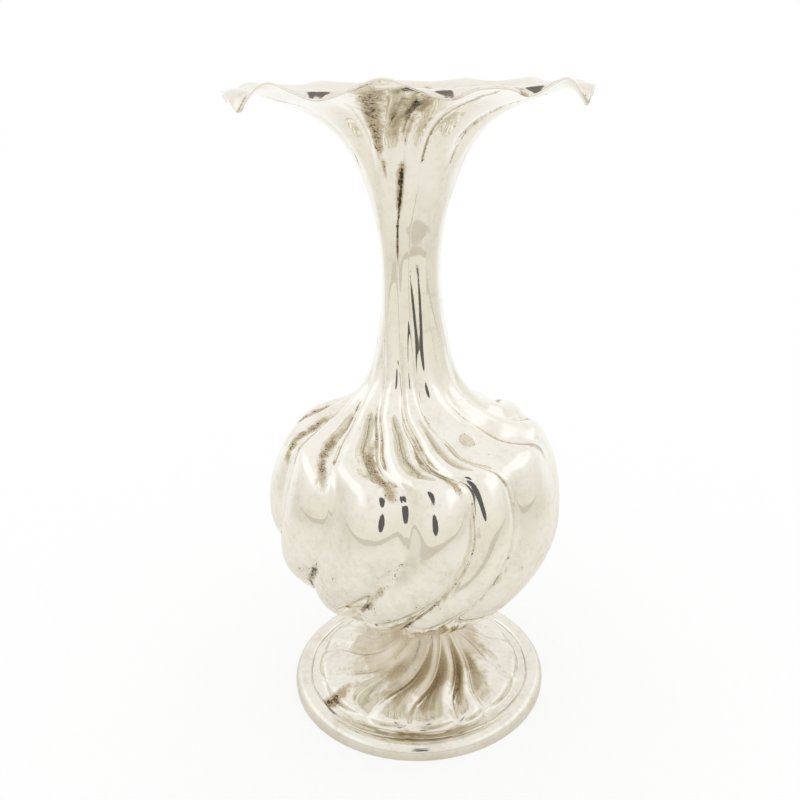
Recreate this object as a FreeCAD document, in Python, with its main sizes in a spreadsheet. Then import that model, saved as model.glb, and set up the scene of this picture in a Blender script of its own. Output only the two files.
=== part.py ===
"""Silver trumpet vase: swirl-fluted foot, melon-lobed bulb, fluted neck and a flared mouth with a wavy rim.

The twelve lobes run without a break from the foot of the bulb to the rim. Each shell is lofted through rings
of twelve arcs. The arcs meet at the flutes' creases, and the creases turn from ring to ring.
"""

import FreeCAD, Part
import math
import os

import Sketcher

SIZES = {
    # Heights of the pieces, stacked from the ground up.
    "foot_height": 31.0,
    "collar_height": 1.5,
    "bowl_height": 77.5,
    "shoulder_height": 40.0,
    "neck_height": 50.0,
    "trumpet_height": 60.0,
    # Diameters over the lobes.
    "foot_diameter": 113.6,
    "stem_diameter": 24.0,
    "bowl_base_diameter": 23.0,
    "belly_diameter": 124.4,
    "neck_root_diameter": 36.0,
    "waist_diameter": 23.8,
    "rim_diameter": 134.0,
    # Sheet and flutes.
    "sheet_thickness": 0.8,
    "foot_flute_depth": 2.6,
    "belly_flute_depth": 5.0,
    "shoulder_flute_depth": 4.6,
    "neck_flute_depth": 1.1,
    "trumpet_flute_depth": 2.6,
    "rim_wave_height": 10.0,
    # Foot ring and collar.
    "ring_width": 7.4,
    "ring_height": 6.6,
    "ring_edge_height": 0.8,
    "ledge_width": 2.0,
    "ledge_height": 4.2,
    "collar_width": 3.4,
    "collar_overhang": 1.2,
}

LOBES = 12
LAST = -1
LOFT_DEGREE = 3
# The level of the bowl's underside, on the collar.
BODY_BASE = "Sizes.foot_height + Sizes.collar_height"
# Where the foot ring's crown lies, as a share of its width from the outside.
RING_CROWN_SHARE = 0.57

# Widths of the twelve lobes in degrees, hand-raised and so uneven, from the crease right of the front.
BELLY_LOBE_ANGLES = (19.3, 38.2, 30.5, 30.5, 30.5, 30.5, 30.5, 30.5, 30.5, 31.5, 31.5, 26.0)
RIM_LOBE_ANGLES = (22.6, 29.0, 27.4, 27.4, 27.4, 27.4, 27.4, 27.4, 40.0, 36.7, 32.1, 35.2)
FOOT_LOBE_ANGLES = (27.3, 17.5, 35.0, 35.0, 30.0, 30.0, 30.5, 30.5, 30.2, 28.5, 40.3, 25.2)

# How high each lobe's crest stands at the rim and how low the trough before it lies, from none to full.
CREST_SHARES = (0.09, 0.67, -0.3, 0.1, 0.38, 0.3, 0.1, 0.3, 0.38, -0.3, 0.76, 1.0)
TROUGH_SHARES = (0.45, 0.42, 1.0, 0.75, 0.55, 0.5, 0.55, 0.5, 0.55, 0.8, 1.0, 0.42)
# The part of the wave that lies above the mean rim.
CREST_SIDE_SHARE = 0.34

# Stations of each shell: height share, radius share, flute depth share, turn of the creases in degrees.
BOWL_SHARES = (
    (0.0, 0.0, 0.0, -27.0),
    (0.025, 0.13, 0.28, -24.0),
    (0.085, 0.32, 0.48, -18.5),
    (0.185, 0.525, 0.65, -11.5),
    (0.305, 0.72, 0.76, -5.0),
    (0.42, 0.85, 0.84, 2.0),
    (0.54, 0.945, 0.92, 9.0),
    (0.67, 0.992, 0.96, 15.5),
    (0.79, 1.0, 1.0, 20.0),
    (0.9, 0.985, 1.0, 22.2),
    (1.0, 0.947, 1.0, 22.6),
)
SHOULDER_SHARES = (
    (0.2, 0.915, 0.8, 22.4),
    (0.31, 0.85, 0.76, 20.5),
    (0.375, 0.78, 0.82, 17.2),
    (0.41, 0.695, 0.92, 13.4),
    (0.45, 0.58, 1.0, 8.5),
    (0.505, 0.475, 0.96, 4.8),
    (0.585, 0.335, 0.84, 1.0),
    (0.68, 0.215, 0.7, -6.0),
    (0.785, 0.12, 0.58, -11.3),
    (0.89, 0.05, 0.49, -14.4),
    (1.0, 0.0, 0.42, -16.5),
)
NECK_SHARES = (
    (0.12, 0.7, 1.6, -18.8),
    (0.24, 0.48, 1.4, -20.8),
    (0.42, 0.21, 1.15, -23.6),
    (0.6, 0.05, 1.0, -26.0),
    (0.74, 0.0, 0.95, -27.0),
    (0.87, 0.01, 0.95, -26.8),
    (1.0, 0.07, 1.0, -25.4),
)
# The mouth's stations also give the share of the rim's wave.
TRUMPET_SHARES = (
    (0.12, 0.026, 0.5, -22.5, 0.0),
    (0.24, 0.049, 0.62, -18.0, 0.0),
    (0.42, 0.108, 0.8, -11.0, 0.0),
    (0.59, 0.19, 0.95, -7.0, 0.0),
    (0.72, 0.295, 1.0, -3.5, 0.02),
    (0.815, 0.43, 0.86, 0.5, 0.06),
    (0.88, 0.575, 0.62, 3.2, 0.1),
    (0.94, 0.76, 0.38, 5.6, 0.2),
    (0.975, 0.9, 0.24, 7.0, 0.45),
    (0.972, 0.992, 0.18, 7.6, 1.0),
)
# The foot's stations run from its flat hem inwards and up to the stem, with the crease's set-back share.
FOOT_SHARES = (
    (0.0, 1.0, 0.0, -9.0),
    (0.004, 0.955, 0.0, -8.5),
    (0.014, 0.915, 0.1, -8.0),
    (0.075, 0.898, 0.7, -7.0),
    (0.155, 0.855, 0.95, -6.0),
    (0.235, 0.7, 1.0, -4.8),
    (0.3, 0.53, 1.0, 1.5),
    (0.395, 0.36, 0.85, 15.0),
    (0.53, 0.2, 0.6, 29.0),
    (0.69, 0.095, 0.42, 42.0),
    (0.84, 0.03, 0.3, 51.0),
    (1.0, 0.0, 0.22, 58.0),
)


def radial(angle, radius, level):
    """A point at an angle in degrees from the front towards +X."""
    turned = math.radians(angle)
    return FreeCAD.Vector(radius * math.sin(turned), -radius * math.cos(turned), level)


def running_sums(steps):
    """The angle of each crease from the first one."""
    angles = [0.0]
    for step in steps[:LAST]:
        angles.append(angles[LAST] + step)
    return angles


def blended(first, second, share):
    return [a + (b - a) * share for a, b in zip(first, second)]


def normals(profile):
    """Unit normals of a profile of (radius, level) points, on the left of its run."""
    found = []
    for index in range(len(profile)):
        before = profile[max(index - 1, 0)]
        after = profile[min(index + 1, len(profile) - 1)]
        run = (after[0] - before[0], after[1] - before[1])
        length = math.hypot(*run)
        found.append((-run[1] / length, run[0] / length))
    return found


def moved(profile, distances):
    """A profile shifted along its normals, each point by its own distance."""
    sides = normals(profile)
    return [
        (point[0] + side[0] * distance, point[1] + side[1] * distance)
        for point, side, distance in zip(profile, sides, distances)
    ]


def flattened(outer, inner, index, thickness):
    """Puts an inner point level with its outer one, for a seam cut square to the axis."""
    side = normals(outer)[index]
    inner[index] = (outer[index][0] - thickness / abs(side[0]), outer[index][1])


def beyond(outer, inner):
    """The point half a thickness past the middle of a sheet's edge."""
    across = (outer[0] - inner[0], outer[1] - inner[1])
    middle = ((outer[0] + inner[0]) / 2, (outer[1] + inner[1]) / 2)
    return middle[0] - across[1] / 2, middle[1] + across[0] / 2


class Lobed:
    """The crest and crease lines of one lobed sheet, outside and inside, station by station.

    Lifts raise the crests and drops lower the creases, station by station and lobe by lobe.
    """

    def __init__(self, profile, depths, creases, lifts, drops, thickness, seams, floors=()):
        self.creases = creases
        self.outer = []
        self.inner = []
        valley = moved(profile, depths)
        for lobe in range(len(creases[0])):
            crest_line = [(r, z + lift[lobe]) for (r, z), lift in zip(profile, lifts)]
            crease_line = [(r, z - drop[lobe]) for (r, z), drop in zip(valley, drops)]
            for seam in seams:
                crease_line[seam] = (crease_line[seam][0], profile[seam][1])
            self.outer.append((crest_line, crease_line))
            walls = [thickness] * len(profile)
            inner_crest = moved(crest_line, walls)
            inner_crease = moved(crease_line, walls)
            for seam in seams:
                flattened(crest_line, inner_crest, seam, thickness)
                flattened(crease_line, inner_crease, seam, thickness)
            for floor in floors:
                inner_crest[floor] = (crest_line[floor][0], crest_line[floor][1] + thickness)
                inner_crease[floor] = (crease_line[floor][0], crease_line[floor][1] + thickness)
            self.inner.append((inner_crest, inner_crease))

    def ring(self, side, station):
        """The closed wire of one station: an arc for each lobe, from crease to crease over the crest."""
        angles = self.creases[station]
        arcs = []
        for lobe, (crest_line, crease_line) in enumerate(side):
            following = (lobe + 1) % len(side)
            end_angle = angles[following] if following else angles[0] + math.degrees(math.tau)
            start = radial(angles[lobe], *crease_line[station])
            middle = radial((angles[lobe] + end_angle) / 2, *crest_line[station])
            end = radial(end_angle, *side[following][1][station])
            arcs.append(Part.Arc(start, middle, end).toShape())
        return Part.Wire(arcs)

    def rings(self, side, first, last):
        return [self.ring(side, station) for station in range(first, last + 1)]

    def tip_ring(self):
        """The middle of the rounded edge, half a thickness beyond the last station."""
        tips = []
        for outside, inside in zip(self.outer, self.inner):
            lines = [beyond(a[LAST], b[LAST]) for a, b in zip(outside, inside)]
            tips.append([[line] for line in lines])
        return self.ring(tips, LAST)


def stations(table, start, height, inner_radius, outer_radius, depth):
    """Profile points and flute depths of one shell, from its shares."""
    points = []
    depths = []
    for row in table:
        points.append((inner_radius + (outer_radius - inner_radius) * row[1], start + height * row[0]))
        depths.append(depth * row[2])
    return points, depths


def skinned(skins, bands, lids=()):
    """A closed solid from smooth lofts, straight bands between two rings each, and flat lids across rings."""
    faces = []
    for rings in skins:
        faces.extend(Part.makeLoft(rings, False, False, False, LOFT_DEGREE).Faces)
    for first, second in bands:
        faces.extend(Part.makeRuledSurface(a, b) for a, b in zip(first.Edges, second.Edges))
    faces.extend(Part.Face(ring) for ring in lids)
    sewn = Part.makeCompound(faces)
    sewn.sewShape()
    solid = Part.makeSolid(sewn)
    if solid.Volume < 0:
        solid.reverse()
    return solid


def make_sheet(doc):
    sheet = doc.addObject("Spreadsheet::Sheet", "Sizes")
    for row, (alias, value) in enumerate(SIZES.items(), start=1):
        sheet.set(f"A{row}", alias)
        sheet.set(f"B{row}", str(value))
        sheet.setAlias(f"B{row}", alias)
    doc.recompute()
    return sheet


def add_shell(doc, name, shape, height_expression=None):
    """A scripted shell, built from its own base upwards and lifted to its place."""
    piece = doc.addObject("Part::Feature", name)
    piece.Shape = shape
    piece.Label = name
    if height_expression:
        piece.setExpression("Placement.Base.z", height_expression)
    return piece


def fix_corner(sketch, geometry, end, corner):
    """Holds one end of a line or arc at bound distances from the axis and from the ground."""
    across, up, across_text, up_text = corner
    for kind, value, expression in (("DistanceX", across, across_text), ("DistanceY", up, up_text)):
        if expression is None:
            sketch.addConstraint(Sketcher.Constraint("PointOnObject", geometry, end, -1))
            continue
        number = sketch.addConstraint(Sketcher.Constraint(kind, -1, 1, geometry, end, value))
        sketch.setExpression(f"Constraints[{number}]", expression)


def add_turned(doc, name, corners, round_ends, height_expression=None):
    """A turned ring: an outline of bound corners, revolved about the vertical axis.

    A corner is (across, up, its two expressions). An edge in round_ends is an arc, level at that corner.
    """
    body = doc.addObject("PartDesign::Body", name)
    body.Label = name
    plane = next(item for item in body.Origin.OriginFeatures if item.Role == "XZ_Plane")
    sketch = body.newObject("Sketcher::SketchObject", name + "_outline")
    sketch.AttachmentSupport = (plane, [""])
    sketch.MapMode = "FlatFace"
    places = [FreeCAD.Vector(across, up, 0) for across, up, _, _ in corners]
    starts = []
    ends = []
    for index, place in enumerate(places):
        following = places[(index + 1) % len(places)]
        if index in round_ends:
            edge = level_arc(place, following, round_ends[index] == index)
        else:
            edge = Part.LineSegment(place, following)
        sketch.addGeometry(edge, False)
        forward = edge.StartPoint.distanceToPoint(place) < edge.EndPoint.distanceToPoint(place)
        starts.append(1 if forward else 2)
        ends.append(2 if forward else 1)
    for index, corner in enumerate(corners):
        previous = (index - 1) % len(corners)
        sketch.addConstraint(
            Sketcher.Constraint("Coincident", previous, ends[previous], index, starts[index])
        )
        fix_corner(sketch, index, starts[index], corner)
        if index in round_ends:
            tip = starts[index] if round_ends[index] == index else ends[index]
            sketch.addConstraint(Sketcher.Constraint("Vertical", index, 3, index, tip))
    turn = body.newObject("PartDesign::Revolution", name + "_turn")
    turn.Profile = sketch
    turn.ReferenceAxis = (sketch, ["V_Axis"])
    sketch.Visibility = False
    if height_expression:
        body.setExpression("Placement.Base.z", height_expression)
    return body


def level_arc(first, last, level_at_first):
    """The arc between two points that runs level at one of them."""
    tip, foot = (first, last) if level_at_first else (last, first)
    across = foot.x - tip.x
    down = tip.y - foot.y
    radius = (across**2 + down**2) / (2 * down)
    centre = FreeCAD.Vector(tip.x, tip.y - radius, 0)
    half = math.atan2(across, radius - down) / 2
    middle = centre + FreeCAD.Vector(radius * math.sin(half), radius * math.cos(half), 0)
    return Part.Arc(first, middle, last)


def make_foot_ring(doc, size):
    """The heavy half-round band that the vase stands on, with a ledge inside for the foot's hem."""
    foot = size["foot_diameter"] / 2
    inner = foot - size["ring_width"]
    crown = foot - size["ring_width"] * RING_CROWN_SHARE
    outer_text = "Sizes.foot_diameter / 2"
    inner_text = outer_text + " - Sizes.ring_width"
    crown_text = outer_text + f" - Sizes.ring_width * {RING_CROWN_SHARE}"
    ledge_text = inner_text + " - Sizes.ledge_width"
    step_text = "Sizes.ledge_height + Sizes.sheet_thickness"
    corners = (
        (inner - size["ledge_width"], 0, ledge_text, None),
        (foot, 0, outer_text, None),
        (foot, size["ring_edge_height"], outer_text, "Sizes.ring_edge_height"),
        (crown, size["ring_height"], crown_text, "Sizes.ring_height"),
        (inner, size["ledge_height"] + size["sheet_thickness"], inner_text, step_text),
        (inner, size["ledge_height"], inner_text, "Sizes.ledge_height"),
        (inner - size["ledge_width"], size["ledge_height"], ledge_text, "Sizes.ledge_height"),
    )
    return add_turned(doc, "foot_ring", corners, {2: 3, 3: 3})


def make_collar(doc, size):
    """The small ring that joins the foot's stem to the bowl."""
    inner = size["stem_diameter"] / 2 - size["collar_width"]
    outer = size["stem_diameter"] / 2 + size["collar_overhang"]
    inner_text = "Sizes.stem_diameter / 2 - Sizes.collar_width"
    outer_text = "Sizes.stem_diameter / 2 + Sizes.collar_overhang"
    corners = (
        (inner, 0, inner_text, None),
        (outer, 0, outer_text, None),
        (outer, size["collar_height"], outer_text, "Sizes.collar_height"),
        (inner, size["collar_height"], inner_text, "Sizes.collar_height"),
    )
    return add_turned(doc, "stem_collar", corners, {}, "Sizes.foot_height")


def crease_angles(table, lobe_angles):
    """The crease angles at each station of a shell whose lobes keep their angles."""
    offsets = running_sums(lobe_angles)
    return [[row[3] + offset for offset in offsets] for row in table]


def make_foot_dome(doc, size):
    """The fluted foot: a flat hem, twelve scalloped lobes and the stem, hollow below."""
    base = size["ledge_height"] + size["sheet_thickness"]
    profile, depths = stations(
        FOOT_SHARES,
        base,
        size["foot_height"] - base,
        size["stem_diameter"] / 2,
        size["foot_diameter"] / 2 - size["ring_width"],
        size["foot_flute_depth"],
    )
    still = [[0.0] * LOBES for _ in profile]
    creases = crease_angles(FOOT_SHARES, FOOT_LOBE_ANGLES)
    sheet = Lobed(profile, depths, creases, still, still, size["sheet_thickness"], [LAST])
    outer = sheet.rings(sheet.outer, 0, len(profile) - 1)
    inner = sheet.rings(sheet.inner, 0, len(profile) - 1)
    shape = skinned([outer, inner], [(outer[0], inner[0]), (outer[LAST], inner[LAST])])
    return add_shell(doc, "foot_dome", shape)


class VaseBody:
    """The lobed sheet of bowl, shoulder, neck and mouth as one run of stations, with the seams between them."""

    def __init__(self, size):
        base = size["bowl_base_diameter"] / 2
        root = size["neck_root_diameter"] / 2
        waist = size["waist_diameter"] / 2
        shells = (
            (BOWL_SHARES, "bowl_height", base, size["belly_diameter"] / 2, "belly_flute_depth"),
            (SHOULDER_SHARES, "shoulder_height", root, None, "shoulder_flute_depth"),
            (NECK_SHARES, "neck_height", waist, root, "neck_flute_depth"),
            (TRUMPET_SHARES, "trumpet_height", waist, size["rim_diameter"] / 2, "trumpet_flute_depth"),
        )
        profile = []
        depths = []
        rows = []
        self.ends = [0]
        level = 0.0
        for table, height, inner, outer, depth in shells:
            reach = profile[LAST][0] if outer is None else outer
            points, cuts = stations(table, level, size[height], inner, reach, size[depth])
            profile.extend(points)
            depths.extend(cuts)
            rows.extend(table)
            level += size[height]
            self.ends.append(len(profile) - 1)
        top_of_bulb = self.ends[1]
        waves = [(row[4] if len(row) > 4 else 0.0) * size["rim_wave_height"] for row in rows]
        lifts = [[wave * CREST_SIDE_SHARE * share for share in CREST_SHARES] for wave in waves]
        drops = [[wave * (1 - CREST_SIDE_SHARE) * share for share in TROUGH_SHARES] for wave in waves]
        creases = []
        for station, row in enumerate(rows):
            share = max(0, station - top_of_bulb) / (len(rows) - 1 - top_of_bulb)
            lobe_angles = blended(BELLY_LOBE_ANGLES, RIM_LOBE_ANGLES, share)
            creases.append([row[3] + offset for offset in running_sums(lobe_angles)])
        base_station, *seams = self.ends[:LAST]
        wall = size["sheet_thickness"]
        self.sheet = Lobed(profile, depths, creases, lifts, drops, wall, seams, [base_station])

    def piece(self, number):
        """The outer and inner rings of one shell, counted from the bowl up, or the last one."""
        last = self.ends[number + 1] if number != LAST else self.ends[LAST]
        first = self.ends[self.ends.index(last) - 1]
        return self.sheet.rings(self.sheet.outer, first, last), self.sheet.rings(self.sheet.inner, first, last)


def make_bowl(doc, vase):
    """The lower bulb, closed by a flat bottom."""
    outer, inner = vase.piece(0)
    shape = skinned([outer, inner], [(outer[LAST], inner[LAST])], [outer[0], inner[0]])
    return add_shell(doc, "bowl", shape, BODY_BASE)


def make_open_shell(doc, name, vase, number):
    """A lobed shell that is open at both ends."""
    outer, inner = vase.piece(number)
    shape = skinned([outer, inner], [(outer[0], inner[0]), (outer[LAST], inner[LAST])])
    return add_shell(doc, name, shape, BODY_BASE)


def make_trumpet(doc, vase):
    """The flared mouth, with a rounded edge along its wavy rim."""
    outer, inner = vase.piece(LAST)
    edge = [outer[LAST], vase.sheet.tip_ring(), inner[LAST]]
    shape = skinned([outer, edge, inner], [(outer[0], inner[0])])
    return add_shell(doc, "trumpet_mouth", shape, BODY_BASE)


def main():
    doc = FreeCAD.newDocument("trumpet_vase")
    sheet = make_sheet(doc)
    size = {alias: float(sheet.get(alias)) for alias in SIZES}
    vase = VaseBody(size)
    pieces = [
        make_foot_ring(doc, size),
        make_foot_dome(doc, size),
        make_collar(doc, size),
        make_bowl(doc, vase),
        make_open_shell(doc, "shoulder", vase, 1),
        make_open_shell(doc, "neck", vase, 2),
        make_trumpet(doc, vase),
    ]
    doc.recompute()
    for item in doc.Objects:
        if {"Invalid", "Error"} & set(item.State):
            raise RuntimeError(f"{item.Name} failed: {item.State}")
    for piece in pieces:
        if piece.Shape.isNull() or not piece.Shape.isValid():
            raise RuntimeError(f"{piece.Label} has no valid shape")
    os.makedirs("parts", exist_ok=True)
    for piece in pieces:
        piece.Shape.exportStep(f"parts/{piece.Label}.step")
        print(piece.Label, round(piece.Shape.Volume), piece.Shape.optimalBoundingBox(True, False))


main()
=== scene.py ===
"""A raised silver vase: lobed bulb on a domed foot, slender neck and a flared mouth with a wavy rim.

The lobed sheet is swept by a Geometry Nodes tree from a profile of rings and a table of lobes. Each ring is
twelve arcs from crease to crease over the crest. Its wall, seams and edges are added piece by piece.
"""

import math

import bpy
import numpy as np
from bpy.props import FloatProperty, FloatVectorProperty, IntProperty, PointerProperty
from mathutils import Matrix, Vector


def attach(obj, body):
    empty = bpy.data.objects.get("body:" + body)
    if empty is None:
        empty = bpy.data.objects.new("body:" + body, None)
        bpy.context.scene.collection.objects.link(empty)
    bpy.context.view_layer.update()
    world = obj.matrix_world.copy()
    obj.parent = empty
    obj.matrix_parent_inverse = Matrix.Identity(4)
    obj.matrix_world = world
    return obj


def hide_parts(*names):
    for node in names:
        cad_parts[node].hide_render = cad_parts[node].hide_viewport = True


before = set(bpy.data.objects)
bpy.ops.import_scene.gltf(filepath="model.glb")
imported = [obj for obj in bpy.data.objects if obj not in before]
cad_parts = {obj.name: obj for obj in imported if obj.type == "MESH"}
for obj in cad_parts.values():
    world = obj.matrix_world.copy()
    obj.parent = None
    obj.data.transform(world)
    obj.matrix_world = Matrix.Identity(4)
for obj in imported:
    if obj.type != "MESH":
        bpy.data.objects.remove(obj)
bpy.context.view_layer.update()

bl_info = {
    "name": "Fluted vase",
    "version": (1, 0, 0),
    "blender": (4, 5, 0),
    "location": "View3D > Sidebar > Vase",
    "description": "Builds a lobed silver vase and the studio around it",
    "category": "Add Mesh",
}

LOBES = 12
TURN = 2 * math.pi
LAST = -1
SILVER = "polished silver"

# Widths of the twelve lobes in degrees, from the crease right of the front.
BELLY_LOBE_ANGLES = (19.3, 38.2, 30.5, 30.5, 30.5, 30.5, 30.5, 30.5, 30.5, 31.5, 31.5, 26.0)
RIM_LOBE_ANGLES = (22.6, 29.0, 27.4, 27.4, 27.4, 27.4, 27.4, 27.4, 40.0, 36.7, 32.1, 35.2)
FOOT_LOBE_ANGLES = (27.3, 17.5, 35.0, 35.0, 30.0, 30.0, 30.5, 30.5, 30.2, 28.5, 40.3, 25.2)
# How high each crest and how low each trough stands at the rim, as shares of the wave's two sides.
CREST_SHARES = (0.09, 0.67, -0.3, 0.1, 0.38, 0.3, 0.1, 0.3, 0.38, -0.3, 0.76, 1.0)
TROUGH_SHARES = (0.45, 0.42, 1.0, 0.75, 0.55, 0.5, 0.55, 0.5, 0.55, 0.8, 1.0, 0.42)
CREST_SIDE_SHARE = 0.34
# Half widths of a crest and of a trough along the rim, as shares of a lobe.
CREST_WIDTH_SHARE = 0.2
TROUGH_WIDTH_SHARE = 0.2
# How wide each crease is rounded, as a share of half a lobe, and how much of a valley it lies in.
CREASE_ROUND_SHARES = (0.1, 0.12, 0.2, 0.25, 0.2, 0.25, 0.2, 0.25, 0.2, 0.2, 0.16, 0.2)
VALLEY_SHARES = (0.1, 0.3, 0.2, 0.5, 0.3, 0.6, 0.2, 0.5, 0.3, 0.4, 0.3, 1.0)
# How wide a valley is, as a share of half a lobe, and how deep, as a share of the flutes' depth.
VALLEY_WIDTH_SHARE = 0.42
VALLEY_DEPTH_SHARE = 0.3
# How much of a rounded crease is filled, on every lobe and more where the lobe stands out more.
FILL_SHARE = 0.2
BULGE_FILL_SHARE = 1.6
# How much softer the creases are along the neck, between which levels, and over what height that fades.
NECK_SOFTENING = 8.0
NECK_LEVELS = (0.165, 0.225)
NECK_FADE = 0.04
# How much sharper they are at the rim, and from which share of the way up to it.
RIM_HARDENING = 0.85
HARDENING_START_SHARE = 0.8
# One lobe is beaten flat along the neck's foot: between which levels the flat starts and ends, where it lies
# on the lobe, and its width and depth.
FACET_LOBE = 1
FACET_START_LEVELS = (0.126, 0.136)
FACET_END_LEVELS = (0.199, 0.179)
FACET_PLACE_SHARE = 0.28
FACET_WIDTH_SHARE = 0.24
FACET_DEPTH_SHARE = 0.14
# Over how many stations the dents fade out towards a sheet's ends.
CALM_STATIONS = 2
# The creases reach the CAD box only at the rim, so their clearance grows with this power of the way there.
CLEARANCE_POWER = 4
# Rings over each half of the foot's band, for one ring over the rim's edge.
BAND_RINGS = 3
# Edges of a turned ring that bend more than this are sharp.
SHARP_DEGREES = 40
# No divisor is smaller than these.
LEAST_SQUARE = 1e-30
LEAST_LENGTH = 1e-12

# Stations: height share, radius share, flute depth share, turn of the creases in degrees.
BOWL_SHARES = (
    (0.0, 0.0, 0.0, -27.0),
    (0.025, 0.13, 0.28, -24.0),
    (0.085, 0.32, 0.48, -18.5),
    (0.185, 0.525, 0.65, -11.5),
    (0.305, 0.72, 0.76, -5.0),
    (0.42, 0.85, 0.84, 2.0),
    (0.54, 0.945, 0.92, 9.0),
    (0.67, 0.992, 0.96, 15.5),
    (0.79, 1.0, 1.0, 20.0),
    (0.9, 0.985, 1.0, 22.2),
    (1.0, 0.947, 1.0, 22.6),
)
SHOULDER_SHARES = (
    (0.2, 0.915, 0.8, 22.4),
    (0.31, 0.85, 0.76, 20.5),
    (0.375, 0.78, 0.82, 17.2),
    (0.41, 0.695, 0.92, 13.4),
    (0.45, 0.58, 1.0, 8.5),
    (0.505, 0.475, 0.96, 4.8),
    (0.585, 0.335, 0.84, 1.0),
    (0.68, 0.215, 0.7, -6.0),
    (0.785, 0.12, 0.58, -11.3),
    (0.89, 0.05, 0.49, -14.4),
    (1.0, 0.0, 0.42, -16.5),
)
NECK_SHARES = (
    (0.12, 0.7, 1.6, -18.8),
    (0.24, 0.48, 1.4, -20.8),
    (0.42, 0.21, 1.15, -23.6),
    (0.6, 0.05, 1.0, -26.0),
    (0.74, 0.0, 0.95, -27.0),
    (0.87, 0.01, 0.95, -26.8),
    (1.0, 0.07, 1.0, -25.4),
)
# The mouth's stations also give the share of the rim's wave.
MOUTH_SHARES = (
    (0.12, 0.026, 0.5, -22.5, 0.0),
    (0.24, 0.049, 0.62, -18.0, 0.0),
    (0.42, 0.108, 0.8, -11.0, 0.0),
    (0.59, 0.19, 0.95, -7.0, 0.0),
    (0.72, 0.295, 1.0, -3.5, 0.02),
    (0.815, 0.43, 0.86, 0.5, 0.06),
    (0.88, 0.575, 0.62, 4.2, 0.1),
    (0.94, 0.76, 0.38, 7.4, 0.2),
    (0.975, 0.9, 0.16, 9.8, 0.22),
    (0.972, 0.992, 0.18, 11.0, 1.0),
)
# The foot's stations run from its flat hem inwards and up to the stem.
FOOT_SHARES = (
    (0.0, 1.0, 0.0, -9.0),
    (0.004, 0.955, 0.0, -8.5),
    (0.014, 0.915, 0.1, -8.0),
    (0.075, 0.898, 0.7, -7.0),
    (0.155, 0.855, 0.95, -6.0),
    (0.235, 0.7, 1.0, -4.8),
    (0.3, 0.53, 1.0, 1.5),
    (0.395, 0.36, 0.85, 15.0),
    (0.53, 0.2, 0.6, 29.0),
    (0.69, 0.095, 0.42, 42.0),
    (0.84, 0.03, 0.3, 51.0),
    (1.0, 0.0, 0.22, 58.0),
)

# Tarnish on the body: crease, offset in lobes, half width in lobes, lowest and highest level, strength.
BODY_STAINS = (
    (0, 0.02, 0.2, 0.216, 0.233, 1.3),
    (0, 0.02, 0.13, 0.198, 0.222, 1.1),
    (0, 0.12, 0.1, 0.238, 0.257, 0.65),
    (0, 0.0, 0.09, 0.243, 0.258, 0.6),
    (0, -0.18, 0.14, 0.238, 0.258, 0.5),
    (11, 0.4, 0.16, 0.236, 0.259, 1.0),
    (11, 0.47, 0.09, 0.228, 0.236, 0.7),
    (1, -0.1, 0.12, 0.233, 0.258, 0.85),
    (0, 0.5, 0.06, 0.24, 0.257, 0.5),
    (10, 0.3, 0.1, 0.225, 0.25, 0.3),
    (0, 0.0, 0.04, 0.046, 0.07, 0.9),
    (0, 0.0, 0.04, 0.07, 0.122, 0.5),
    (11, -0.02, 0.03, 0.045, 0.07, 0.6),
)
# The same without the crease, for stains that return in many creases.
SHOULDER_STAINS = ((-0.17, 0.1, 0.117, 0.13, 0.8), (-0.08, 0.045, 0.126, 0.14, 0.6))
MOUTH_STAIN = (0.05, 0.1, 0.23, 0.257, 0.6)
MOUTH_STAIN_CREASES = range(2, LOBES - 1, 2)
BELLY_STAIN = (0.0, 0.1, 0.05, 0.085, 0.5)
FOOT_STAINS = ((-0.12, 0.1, 0.006, 0.022, 0.3), (0.3, 0.16, 0.008, 0.017, 0.25))
# One dark stain on the foot's hem, with its crease.
HEM_STAIN = (10, 0.46, 0.13, 0.002, 0.011, 1.1)
# The height over which a stain fades, and how far the dirt and the painted shade of a crease spread from it.
STAIN_FADE = 0.006
CREASE_SHADE_AND_DIRT_WIDTH = 0.0011

# Noise in the silver: scale, detail and roughness.
PATCHES = (70.0, 2.0, 0.5)
MOTTLE = (380.0, 3.0, 0.6)
SPECKS = (1300.0, 2.0, 0.6)
STREAKS = (420.0, 3.0, 0.5)
RIPPLE = (120.0, 1.0, 0.5)
STREAK_STRETCH = (1.0, 1.0, 0.25)
# Levels, or distances from the axis, between which the silver's films and the painted shade on the foot start
# and end.
STEM_LEVELS = (0.058, 0.04)
STEM_REACHES = (0.034, 0.028)
BELLY_TOP_LEVELS = (0.105, 0.09)
BELLY_BASE_LEVELS = (0.045, 0.06)
FOOT_SHADE_LEVELS = (0.036, 0.028)
# How far patches and streaks shift the edge of the stem's film.
STEM_PATCHES = 0.03
STEM_STREAKS = 0.012
# Where a stain and the patches' dust start to show and are whole.
MARKED = (0.02, 0.3)
DUST = (0.52, 0.62)
# The films: the drive at which each starts and is whole, and its strength.
FILM = (0.2, 0.8, 0.85)
HAZE = (0.7, 1.1, 0.3)
CRUST = (0.95, 1.3, 0.7)
DIRT_AND_CREASE_SHADE = (0.68, 0.84, 0.9)
WARM = (0.4, 0.7, 0.6)
# How much tarnish the polished silver's warm patches hold.
WARM_SHARE = 0.1
# How much the noise drives the film, the haze and the crust, and the lower belly the haze.
STREAKS_FILM = 1.1
PATCHES_FILM = 0.6
PATCHES_HAZE = 0.5
BELLY_HAZE = 0.1
MOTTLE_CRUST = 0.8
# The painted shade on the foot, which darkens it as if under the bulb, and the film on the stem: how much
# there is, and how much the patches add.
FOOT_SHADE = (0.25, 0.3)
STEM_FILM = (0.33, 0.5)
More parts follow.
